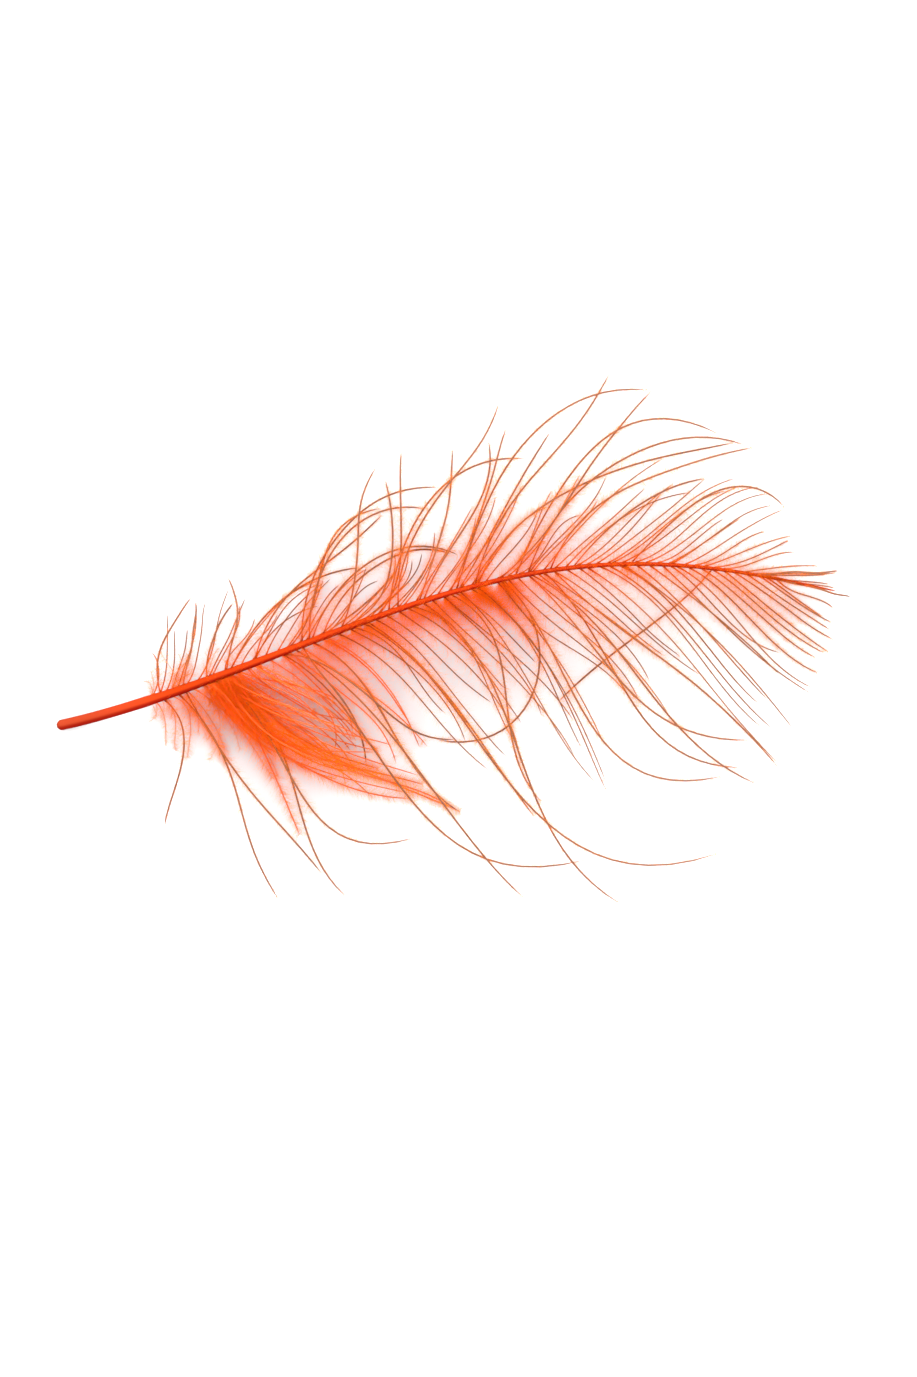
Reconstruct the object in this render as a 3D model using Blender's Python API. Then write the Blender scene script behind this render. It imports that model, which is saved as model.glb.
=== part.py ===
"""A dyed cul de canard feather, lying loose with its quill to -X and its tip to +X.

The feather grew as one piece: a shaft, bare where it was plucked, and the barbs that grow from both sides of
it. Here the barbs are gathered in locks, each a flat tapering strand that follows its barbs from the shaft to
their tips, and the locks are joined to the shaft in one solid.
"""

import math

import bmesh
import bpy
import numpy as np

# Shaft, in metres. A station is a place along the shaft, from 0 at the cut end to 1 at the tip.
CHORD = 0.050  # straight from the cut end to the tip
BOW = 0.0043  # how far the shaft bows toward +Y
ARCH = 0.0030  # how far its middle stands above its ends
TIP_RISE = 0.0007  # the tip's height above the cut end
QUILL_RADIUS = 0.00034
TIP_RADIUS = 0.00011
BARE_STATION = 0.12  # the quill has no barbs up to here
OUTLINE_CENTRE = np.array((0.02545, -0.0020, 0.0))  # the middle of the whole outline, from the cut end

# How the barbs of each vane run: station, then the heading in degrees from +X where they leave the shaft,
# halfway along and at their tips, then their length in metres. Barbs between two rows follow both.
UPPER_VANE = (
    (0.135, 65, 78, 74, 0.0050),
    (0.20, 52, 66, 70, 0.0070),
    (0.27, 46, 50, 46, 0.0085),
    (0.37, 40, 52, 42, 0.0115),
    (0.54, 40, 47, 36, 0.0158),
    (0.63, 40, 34, 16, 0.0152),
    (0.76, 34, 24, 2, 0.0098),
    (0.88, 20, 10, -4, 0.0052),
    (1.00, -15, -15, -20, 0.0009),
)
LOWER_VANE = (
    (0.125, -72, -98, -106, 0.0050),
    (0.17, -58, -82, -90, 0.0085),
    (0.22, -42, -60, -66, 0.0120),
    (0.30, -36, -52, -66, 0.0130),
    (0.45, -40, -56, -72, 0.0140),
    (0.54, -45, -66, -80, 0.0135),
    (0.63, -52, -62, -70, 0.0150),
    (0.70, -55, -60, -62, 0.0160),
    (0.82, -58, -57, -53, 0.0112),
    (0.94, -44, -39, -36, 0.0042),
    (1.00, -20, -25, -28, 0.0009),
)

# Loose locks that left the others, in the same form, with their tips' height and the height of their arch.
STRAY_LOCKS = (
    (0.145, 76, 86, 94, 0.0044, 0.0024, 0.0003),
    (0.180, 74, 84, 94, 0.0062, 0.0032, 0.0004),
    (0.235, 62, 86, 106, 0.0070, 0.0038, 0.0006),
    (0.255, 52, 16, -32, 0.0158, 0.0016, 0.0014),
    (0.360, 56, 38, -2, 0.0165, 0.0010, 0.0016),
    (0.540, 60, 36, 0, 0.0190, 0.0, 0.0014),
    (0.600, 54, 34, -26, 0.0177, 0.0004, 0.0016),
    (0.630, 42, 32, -14, 0.0165, 0.0, 0.0008),
    (0.670, 42, 24, -26, 0.0140, 0.0006, 0.0012),
    (0.620, -54, -56, -6, 0.0165, 0.0, 0.0010),
    (0.595, -76, -64, 12, 0.0200, 0.0, 0.0006),
    (0.715, -72, -74, -38, 0.0172, 0.0, 0.0012),
    (0.385, -46, -56, -4, 0.0270, 0.0006, 0.0008),
    (0.540, -72, -82, -60, 0.0240, 0.0, 0.0004),
    (0.330, -58, -62, 20, 0.0245, 0.0003, 0.0012),
    (0.215, -56, -32, -40, 0.0260, 0.0, 0.0016),
    (0.230, -54, -40, -68, 0.0230, 0.0, 0.0006),
    (0.155, -84, -106, -118, 0.0084, 0.0, 0.0004),
    (0.165, -64, -84, -76, 0.0144, 0.0, 0.0008),
    (0.205, -56, -76, -70, 0.0158, 0.0, 0.0003),
    (0.210, -56, -66, -2, 0.0175, 0.0008, 0.0010),
    (0.220, -50, -46, -20, 0.0160, 0.0004, 0.0014),
    (0.175, -60, -72, -58, 0.0130, 0.0010, 0.0012),
    (0.820, -150, -148, -140, 0.0095, 0.0020, 0.0010),
)

# Locks
LOCKS_A_VANE = 24
LAST_STATION = 0.985
LOCK_HALF_WIDTH = 0.00052  # where a lock is widest
LOCK_HALF_THICKNESS = 0.00020
DENSE_DOWN = (0.19, 0.37)  # the stations between which the lower vane's locks are matted down
DENSE_DOWN_SHARE = 1.35  # their section against the others'
STRAY_SHARE = 0.42  # a stray lock's section against a vane lock's
LOCK_POINTS = 9
STRAY_POINTS = 12
LOCK_SIDES = 6
FLOOR_CLEARANCE = 0.00002

DYE_ORANGE = (0.87, 0.12, 0.015, 1.0)  # linear


def shaft_point(station):
    """The shaft's centre: bowed toward +Y, most past its middle, and arched upward between its ends."""
    bow = BOW * math.sin(math.pi * station**1.5)
    arch = ARCH * math.sin(math.pi * station) ** 1.2 if 0 < station < 1 else 0.0
    return np.array((CHORD * station, bow, QUILL_RADIUS + arch + TIP_RISE * station)) - OUTLINE_CENTRE


def shaft_radius(station):
    """Even along the bare quill, then an even taper to the tip, with the cut end drawn in a little."""
    taper = max(0.0, (station - BARE_STATION) / (1 - BARE_STATION))
    cut_end = 0.72 + 0.28 * min(1.0, station / 0.02)
    return cut_end * (QUILL_RADIUS + (TIP_RADIUS - QUILL_RADIUS) * taper**0.8)


def lock_path(station, headings, length, tip_height, lift, count):
    """A lock's centre line, as points. Its heading changes as a parabola through the three headings given,
    and its height falls from the shaft's to the tip's with an arch of the given lift between them."""
    root, middle, tip = headings
    along = (np.arange(count - 1) + 0.5) / (count - 1)
    heading = np.radians(
        root + along * (4 * middle - 3 * root - tip) + along**2 * (2 * root - 4 * middle + 2 * tip)
    )
    steps = np.stack((np.cos(heading), np.sin(heading)), axis=1) * length / (count - 1)
    start = shaft_point(station)
    plan = start[:2] + np.concatenate((np.zeros((1, 2)), np.cumsum(steps, axis=0)))
    along = np.linspace(0, 1, count)
    height = start[2] + (tip_height - start[2]) * along**1.25 + lift * np.sin(np.pi * along)
    return np.column_stack((plan, height))


def lock_fullness(along):
    """A lock's section against its widest: slender at the root, full a third of the way, fine at the tip."""
    swell = np.minimum(1.0, 0.42 + 1.9 * along)
    taper = np.minimum(1.0, 0.30 + 1.15 * (1.0 - along))
    return swell * taper


def vane_row(vane, station):
    """The headings and length of a vane's barbs at a station, read between the rows."""
    stations, *columns = zip(*vane)
    return [float(np.interp(station, stations, column)) for column in columns]


def to_mesh(curve_object, collection):
    """Makes a curve object a closed mesh in the given collection, and removes the curve."""
    graph = bpy.context.evaluated_depsgraph_get()
    mesh = bpy.data.meshes.new_from_object(curve_object.evaluated_get(graph))
    shell = bmesh.new()
    shell.from_mesh(mesh)
    bmesh.ops.remove_doubles(shell, verts=shell.verts, dist=1e-7)
    bmesh.ops.recalc_face_normals(shell, faces=shell.faces)
    shell.to_mesh(mesh)
    shell.free()
    name = curve_object.name
    placed = curve_object.matrix_world.copy()
    bpy.data.objects.remove(curve_object)
    solid = bpy.data.objects.new(name, mesh)
    solid.matrix_world = placed
    collection.objects.link(solid)
    return solid


def strand(name, points, radii, collection, section=None):
    """A tube along the points. It is round, or has the section of a closed curve scaled by the radii."""
    curve = bpy.data.curves.new(name, "CURVE")
    curve.dimensions = "3D"
    curve.twist_mode = "Z_UP"
    curve.use_fill_caps = True
    if section is None:
        curve.bevel_depth = 1.0
        curve.bevel_resolution = 2
    else:
        curve.bevel_mode = "OBJECT"
        curve.bevel_object = section
    spline = curve.splines.new("POLY")
    spline.points.add(len(points) - 1)
    for point, place, radius in zip(spline.points, points, radii):
        point.co = (*place, 1.0)
        point.radius = radius
    tube = bpy.data.objects.new(name, curve)
    collection.objects.link(tube)
    return to_mesh(tube, collection)


def lock_section(collection):
    """A lock's cross section, a flat oval, as a closed curve for strand."""
    curve = bpy.data.curves.new("lock_section", "CURVE")
    curve.dimensions = "2D"
    spline = curve.splines.new("POLY")
    spline.points.add(LOCK_SIDES - 1)
    spline.use_cyclic_u = True
    for index, point in enumerate(spline.points):
        turn = 2 * math.pi * index / LOCK_SIDES
        point.co = (LOCK_HALF_WIDTH * math.cos(turn), LOCK_HALF_THICKNESS * math.sin(turn), 0.0, 1.0)
    section = bpy.data.objects.new("lock_section", curve)
    collection.objects.link(section)
    return section


def keep_above_floor(points, fullness):
    """Raises a lock's points so that its underside stays just above the surface the feather lies on."""
    points[:, 2] = np.maximum(points[:, 2], LOCK_HALF_THICKNESS * fullness + FLOOR_CLEARANCE)
    return points


def vane_locks(name, vane, section, collection, rng):
    """One vane's locks, evenly spaced along the shaft. Every third one rests its tip on the surface."""
    stations = np.linspace(vane[0][0], LAST_STATION, LOCKS_A_VANE)
    for index, station in enumerate(stations):
        *headings, length = vane_row(vane, station)
        headings = np.array(headings) + rng.uniform(-3, 3, 3)
        length *= rng.uniform(0.94, 1.04)
        tip_height = 0.0 if index % 3 == 0 else rng.uniform(0.0003, 0.0012)
        lift = rng.uniform(0.0002, 0.0008) * length / 0.015
        points = lock_path(station, headings, length, tip_height, lift, LOCK_POINTS)
        fullness = lock_fullness(np.linspace(0, 1, LOCK_POINTS)) * min(1.0, 0.35 + length / 0.014)
        if vane is LOWER_VANE and DENSE_DOWN[0] < station < DENSE_DOWN[1]:
            fullness = fullness * DENSE_DOWN_SHARE
        points = keep_above_floor(points, fullness)
        strand(f"{name}_{index:02d}", points, fullness, collection, section)


def stray_locks(section, collection):
    """The loose locks, finer than the vanes' own."""
    fullness = lock_fullness(np.linspace(0, 1, STRAY_POINTS)) * STRAY_SHARE
    for index, (station, *headings, length, tip_height, lift) in enumerate(STRAY_LOCKS):
        points = lock_path(station, headings, length, tip_height, lift, STRAY_POINTS)
        points = keep_above_floor(points, fullness)
        strand(f"stray_{index:02d}", points, fullness, collection, section)


def orange_keratin():
    """Dyed keratin, saturated orange with a soft sheen."""
    material = bpy.data.materials.new("orange keratin")
    material.use_nodes = True
    shader = material.node_tree.nodes["Principled BSDF"]
    shader.inputs["Base Color"].default_value = DYE_ORANGE
    shader.inputs["Roughness"].default_value = 0.55
    shader.inputs["Metallic"].default_value = 0.0
    return material


def clear_scene():
    for old in list(bpy.data.objects):
        bpy.data.objects.remove(old)


def new_collection(name):
    collection = bpy.data.collections.new(name)
    bpy.context.scene.collection.children.link(collection)
    return collection


def main():
    clear_scene()
    part = new_collection("cul de canard feather")
    locks = new_collection("locks")
    guides = new_collection("guides")
    stations = np.concatenate(((0.0, 0.02), np.linspace(0.06, 1.0, 22)))
    feather = strand(
        "feather",
        [shaft_point(station) for station in stations],
        [shaft_radius(station) for station in stations],
        part,
    )
    rng = np.random.default_rng(12)
    section = lock_section(guides)
    vane_locks("upper_lock", UPPER_VANE, section, locks, rng)
    vane_locks("lower_lock", LOWER_VANE, section, locks, rng)
    stray_locks(section, locks)
    for helper in (*locks.objects, *guides.objects):
        helper.hide_render = True
        helper.display_type = "WIRE"
    join = feather.modifiers.new("locks", "BOOLEAN")
    join.operation = "UNION"
    join.operand_type = "COLLECTION"
    join.collection = locks
    join.solver = "EXACT"
    feather.data.materials.append(orange_keratin())
    feather.data.shade_smooth()


main()
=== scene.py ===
import bpy
import numpy as np
from mathutils import Euler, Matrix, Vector


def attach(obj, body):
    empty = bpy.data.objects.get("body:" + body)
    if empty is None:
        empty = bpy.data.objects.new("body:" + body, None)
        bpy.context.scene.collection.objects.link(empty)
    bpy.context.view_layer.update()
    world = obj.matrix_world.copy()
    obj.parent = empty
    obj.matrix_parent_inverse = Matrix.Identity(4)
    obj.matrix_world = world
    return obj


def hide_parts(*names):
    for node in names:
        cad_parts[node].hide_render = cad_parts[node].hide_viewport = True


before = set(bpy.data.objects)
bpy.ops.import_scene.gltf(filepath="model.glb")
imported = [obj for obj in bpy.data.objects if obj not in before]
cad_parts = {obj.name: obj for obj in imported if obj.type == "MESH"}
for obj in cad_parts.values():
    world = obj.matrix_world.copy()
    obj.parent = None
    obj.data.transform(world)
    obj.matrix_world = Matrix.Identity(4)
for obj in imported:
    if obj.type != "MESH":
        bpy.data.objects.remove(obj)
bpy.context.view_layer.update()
rng = np.random.default_rng(31)  # from one seed, so that every run grows the same feather


# The shaft
# One tapering rod of keratin: a bare round quill where the feather was plucked, then a finer stretch that
# carries the vanes. It was dyed in a bath, so the orange sits in the horn. Its lower side, away from the
# light, is painted darker: painted shade.
CHORD = 0.050  # straight from the cut end to the tip
BOW = 0.0043  # away from that straight line, at most
ARCH = 0.0030  # of the shaft's middle over its ends, at most
TIP_RISE = 0.0007
QUILL_RADIUS = 0.00034
TIP_RADIUS = 0.00010
BARE_STATION = 0.12  # up to here the quill is bare
CUT_ROUNDING = 0.006  # the station up to which the cut end is rounded over
TIP_STATION = 0.9  # from here the shaft thins faster
TIP_THINNING = 0.65
GROOVE_DEPTH = 0.10  # of the groove under the shaft, as a share of its radius
GROOVE_WIDTH = 0.45  # in radians around the shaft
OUTLINE_CENTRE = np.array((0.02545, -0.0020, 0.0))  # the frame's origin, from the cut end
SHAFT_RINGS = 260
SHAFT_SIDES = 20
MAP_WIDTH = 0.003  # half of a strand's width on its map
STRAND_SHADES = (0.80, 1.12)  # the darkest and the lightest strand, against the colour given


def shaft_line(station):
    """The shaft's centre at each station, from 0 at the cut end to 1 at the tip. Across, it is a half wave
    of the station to the power of 1.5. In height it is a half wave on a slow rise."""
    bow = BOW * np.sin(np.pi * station**1.5)
    arch = ARCH * np.sin(np.pi * station).clip(0) ** 1.2
    line = np.stack((CHORD * station, bow, QUILL_RADIUS + arch + TIP_RISE * station), axis=-1)
    return line - OUTLINE_CENTRE


def shaft_radius(station):
    """Even along the bare quill, then falling with the square root of the distance past it: fast where the
    barbs begin, slowly after. The cut end is rounded as a quarter circle, and the last tenth thins to about
    a third, with the distance to the power of 1.5."""
    past = ((station - BARE_STATION) / (1 - BARE_STATION)).clip(0)
    cut_end = (1 - (1 - station / CUT_ROUNDING).clip(0, 0.93) ** 2) ** 0.5
    thinning = 1 - TIP_THINNING * ((station - TIP_STATION) / (1 - TIP_STATION)).clip(0) ** 1.5
    return cut_end * thinning * (QUILL_RADIUS + (TIP_RADIUS - QUILL_RADIUS) * past**0.5)


def unit(vectors):
    """Each vector divided by its length."""
    return vectors / np.linalg.norm(vectors, axis=-1, keepdims=True)


def frames_along(lines):
    """Three unit vectors at each point of each line: along it, by central differences; across, level and
    square to it; and above, square to both."""
    along = unit(np.gradient(lines, axis=-2))
    across = unit(np.cross((0.0, 0.0, 1.0), along))
    return along, across, np.cross(along, across)


def tubes(lines, radii, section, tints):
    """Closed tubes, one along each line. A ring's point is the line's point plus its radius times the
    section's two numbers, one across and one above. The first ring is closed by a face, and the last runs
    to the line's end point. The map has the tint across and the distance along the line upward. Returns
    points, triangles and each point's place on the map."""
    count, rings, _ = lines[:, :-1].shape
    sides = len(section)
    _, across, above = frames_along(lines)
    spokes = section[:, 0, None] * across[..., None, :] + section[:, 1, None] * above[..., None, :]
    rim = (lines[..., None, :] + radii[..., None, None] * spokes)[:, :-1]
    points = np.concatenate((rim.reshape(count, -1, 3), lines[:, -1:]), axis=1)
    ring, side = np.meshgrid(np.arange(rings - 1), np.arange(sides), indexing="ij")
    here = ring * sides + side
    beside = ring * sides + (side + 1) % sides
    walls = np.stack((here, beside, beside + sides, here, beside + sides, here + sides), axis=-1)
    last = (rings - 1) * sides
    turn = np.arange(sides)
    nose = np.stack((last + turn, last + (turn + 1) % sides, np.full(sides, rings * sides)), axis=-1)
    fan = np.arange(1, sides - 1)
    heel = np.stack((np.zeros_like(fan), fan + 1, fan), axis=-1)
    faces = np.concatenate((walls.reshape(-1, 3), nose, heel))
    faces = faces[None] + (np.arange(count) * (rings * sides + 1))[:, None, None]
    upward = np.broadcast_to(np.linspace(0, 1, rings + 1)[None, :-1, None], (count, rings, sides))
    sideways = tints[:, None, None] + MAP_WIDTH * section[:, 0] / np.abs(section[:, 0]).max()
    sideways = np.broadcast_to(sideways, (count, rings, sides))
    rim_map = np.stack((sideways, upward), axis=-1).reshape(count, -1, 2)
    tip_map = np.stack((tints, np.ones(count)), axis=-1)[:, None]
    places = np.concatenate((rim_map, tip_map), axis=1)
    return points.reshape(-1, 3), faces.reshape(-1, 3), places.reshape(-1, 2)


def new_piece(name, points, faces, places, material):
    """A mesh object from arrays of points and triangles, with its map, smooth faces and a material. It
    takes the CAD feather's place."""
    mesh = bpy.data.meshes.new(name)
    mesh.vertices.add(len(points))
    mesh.vertices.foreach_set("co", points.astype(np.float32).ravel())
    mesh.loops.add(faces.size)
    mesh.loops.foreach_set("vertex_index", faces.astype(np.int32).ravel())
    mesh.polygons.add(len(faces))
    mesh.polygons.foreach_set("loop_start", np.arange(0, faces.size, 3, dtype=np.int32))
    mesh.update(calc_edges=True)
    mesh.validate()
    layer = mesh.uv_layers.new(name="OFBake")
    layer.uv.foreach_set("vector", places[faces.ravel()].astype(np.float32).ravel())
    mesh.shade_smooth()
    mesh.materials.append(material)
    piece = bpy.data.objects.new(name, mesh)
    bpy.context.scene.collection.objects.link(piece)
    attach(piece, "root")
    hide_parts("feather")


def dyed_keratin(name, stops, roughness, shine, glow, streaks, runs="Y", painted_shade_side=None):
    """Dyed keratin. Its colour runs up the map, or across it, through the given stops, and changes from
    strand to strand by noise, which is scaled across and up the map by the two streaks. Shine is the
    strength of its gloss, and glow the share of light that passes through. The side colour, where given, is
    painted shade: the darker colour of what lies left of the middle of the map, the side away from the
    light."""
    material = bpy.data.materials.new(name)
    material.use_nodes = True
    tree = material.node_tree
    nodes, links = tree.nodes, tree.links
    shader = nodes["Principled BSDF"]
    shader.inputs["Roughness"].default_value = roughness
    shader.inputs["Specular IOR Level"].default_value = shine
    place = nodes.new("ShaderNodeUVMap")
    place.uv_map = "OFBake"
    parts = nodes.new("ShaderNodeSeparateXYZ")
    links.new(place.outputs["UV"], parts.inputs["Vector"])
    ramp = nodes.new("ShaderNodeValToRGB")
    while len(ramp.color_ramp.elements) < len(stops):
        ramp.color_ramp.elements.new(0.5)
    for element, (position, colour) in zip(ramp.color_ramp.elements, stops):
        element.position = position
        element.color = (*colour, 1.0)
    links.new(parts.outputs[runs], ramp.inputs["Fac"])
    stretch = nodes.new("ShaderNodeMapping")
    stretch.inputs["Scale"].default_value = (*streaks, 1.0)
    links.new(place.outputs["UV"], stretch.inputs["Vector"])
    noise = nodes.new("ShaderNodeTexNoise")
    noise.inputs["Scale"].default_value = 1.0
    noise.inputs["Detail"].default_value = 3.0
    links.new(stretch.outputs["Vector"], noise.inputs["Vector"])
    shade = nodes.new("ShaderNodeMapRange")
    shade.inputs["From Min"].default_value = 0.3
    shade.inputs["From Max"].default_value = 0.7
    shade.inputs["To Min"].default_value = STRAND_SHADES[0]
    shade.inputs["To Max"].default_value = STRAND_SHADES[1]
    links.new(noise.outputs["Fac"], shade.inputs["Value"])
    dye = nodes.new("ShaderNodeHueSaturation")
    links.new(ramp.outputs["Color"], dye.inputs["Color"])
    # Painted shade: left of the map's middle, the colour blends into the darker side colour given.
    if painted_shade_side:
        side = nodes.new("ShaderNodeMapRange")
        side.inputs["From Min"].default_value = 0.5 - 0.55 * MAP_WIDTH
        side.inputs["From Max"].default_value = 0.5 - 0.05 * MAP_WIDTH
        links.new(parts.outputs["X"], side.inputs["Value"])
        painted_shade_blend = nodes.new("ShaderNodeMix")
        painted_shade_blend.data_type = "RGBA"
        painted_shade_blend.inputs["A"].default_value = (*painted_shade_side, 1.0)
        links.new(side.outputs["Result"], painted_shade_blend.inputs["Factor"])
        links.new(ramp.outputs["Color"], painted_shade_blend.inputs["B"])
        links.new(painted_shade_blend.outputs["Result"], dye.inputs["Color"])
    links.new(shade.outputs["Result"], dye.inputs["Value"])
    links.new(dye.outputs["Color"], shader.inputs["Base Color"])
    if glow:
        through = nodes.new("ShaderNodeBsdfTranslucent")
        links.new(dye.outputs["Color"], through.inputs["Color"])
        both = nodes.new("ShaderNodeMixShader")
        both.inputs["Fac"].default_value = glow
        links.new(shader.outputs["BSDF"], both.inputs[1])
        links.new(through.outputs["BSDF"], both.inputs[2])
        links.new(both.outputs["Shader"], nodes["Material Output"].inputs["Surface"])
    return material


horn_stops = (
    (0.0, (0.21, 0.024, 0.008)),
    (0.1, (0.23, 0.022, 0.006)),
    (0.2, (0.28, 0.022, 0.002)),
    (0.45, (0.26, 0.020, 0.002)),
    (0.6, (0.22, 0.016, 0.002)),
    (1.0, (0.22, 0.020, 0.003)),
)
horn = dyed_keratin(
    "dyed quill horn",
    horn_stops,
    roughness=0.5,
    shine=0.01,
    glow=0.0,
    streaks=(9.0, 5.0),
    # painted shade: the shaft's lower side, turned away from the light, is coloured this darker red
    painted_shade_side=(0.15, 0.004, 0.0006),
)
turns = np.linspace(0, 2 * np.pi, SHAFT_SIDES, endpoint=False)
groove = 1 - GROOVE_DEPTH * np.exp(-(((turns - 1.5 * np.pi) / GROOVE_WIDTH) ** 2))
round_section = np.stack((np.cos(turns) * groove, np.sin(turns) * groove), axis=-1)
shaft_stations = np.linspace(0, 1, SHAFT_RINGS) ** 1.15
shaft_points = shaft_line(shaft_stations)
shaft_radii = shaft_radius(shaft_stations)
middle = np.array((0.5,))
new_piece("shaft", *tubes(shaft_points[None], shaft_radii[None], round_section, middle), horn)


# The barbs
# Hair-fine branches of the shaft's own keratin, on both sides of it, with the loose ones about two to the
# millimetre. Each leaves the shaft in a flared root and curves toward the feather's tip, and some cling.
BARB_SPACING = 0.00058  # along the shaft, about
BARB_RADIUS = 0.000046
BARB_POINTS = 24
BARB_SIDES = 5
ROOT_FLARE = 0.5  # of the radius, added at the root
FLARE_LENGTH = 0.025  # of the barb
END_STATION = 0.8  # from here a barb thins faster
END_THINNING = 0.35
SEAT_ACROSS = 0.7  # from the shaft's middle to a barb's root, in radii of the shaft
UPPER_SEAT_HEIGHT = 0.25  # above the shaft's middle, in the same radii
LOWER_SEAT_HEIGHT = -0.2
PALE_STATION = 0.195  # up to here the lower barbs are pale down
MATTED_STATION = 0.36  # and up to here the dye bath left them matted and deep orange
STOUT_STATION = 0.72  # and from here they are stouter
DOWNY_STRETCH = 0.35  # of the shaft, past the bare quill, with shorter and more wavy barbs
GROWN_LENGTH = 0.008  # from this length on, a barb rises and waves as much as the longest
BARB_LENGTHS = (0.72, 1.02)  # of a barb between two measured ones, against theirs
SHORT_LENGTHS = (0.35, 0.6)
TIP_HEIGHTS = (0.0, 0.0013)
LIFTS = (0.0002, 0.0009)  # in the middle of a barb as long as the next value
LIFT_LENGTH = 0.015
WAVE = 0.00003
DOWNY_WAVE = 0.00010  # added to the wave next to the bare quill
LOOSENESS = ((0.13, 8.0), (0.25, 6.0), (0.45, 4.0), (0.62, 2.0), (1.0, 1.4))  # degrees by station
CLINGING = (0.0, 0.5, 0.85)  # how much a barb clings to its neighbour past its root
CLINGING_ODDS = (0.5, 0.3, 0.2)
CLEARANCE = 0.00001  # between a strand and the surface that the feather lies on

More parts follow.
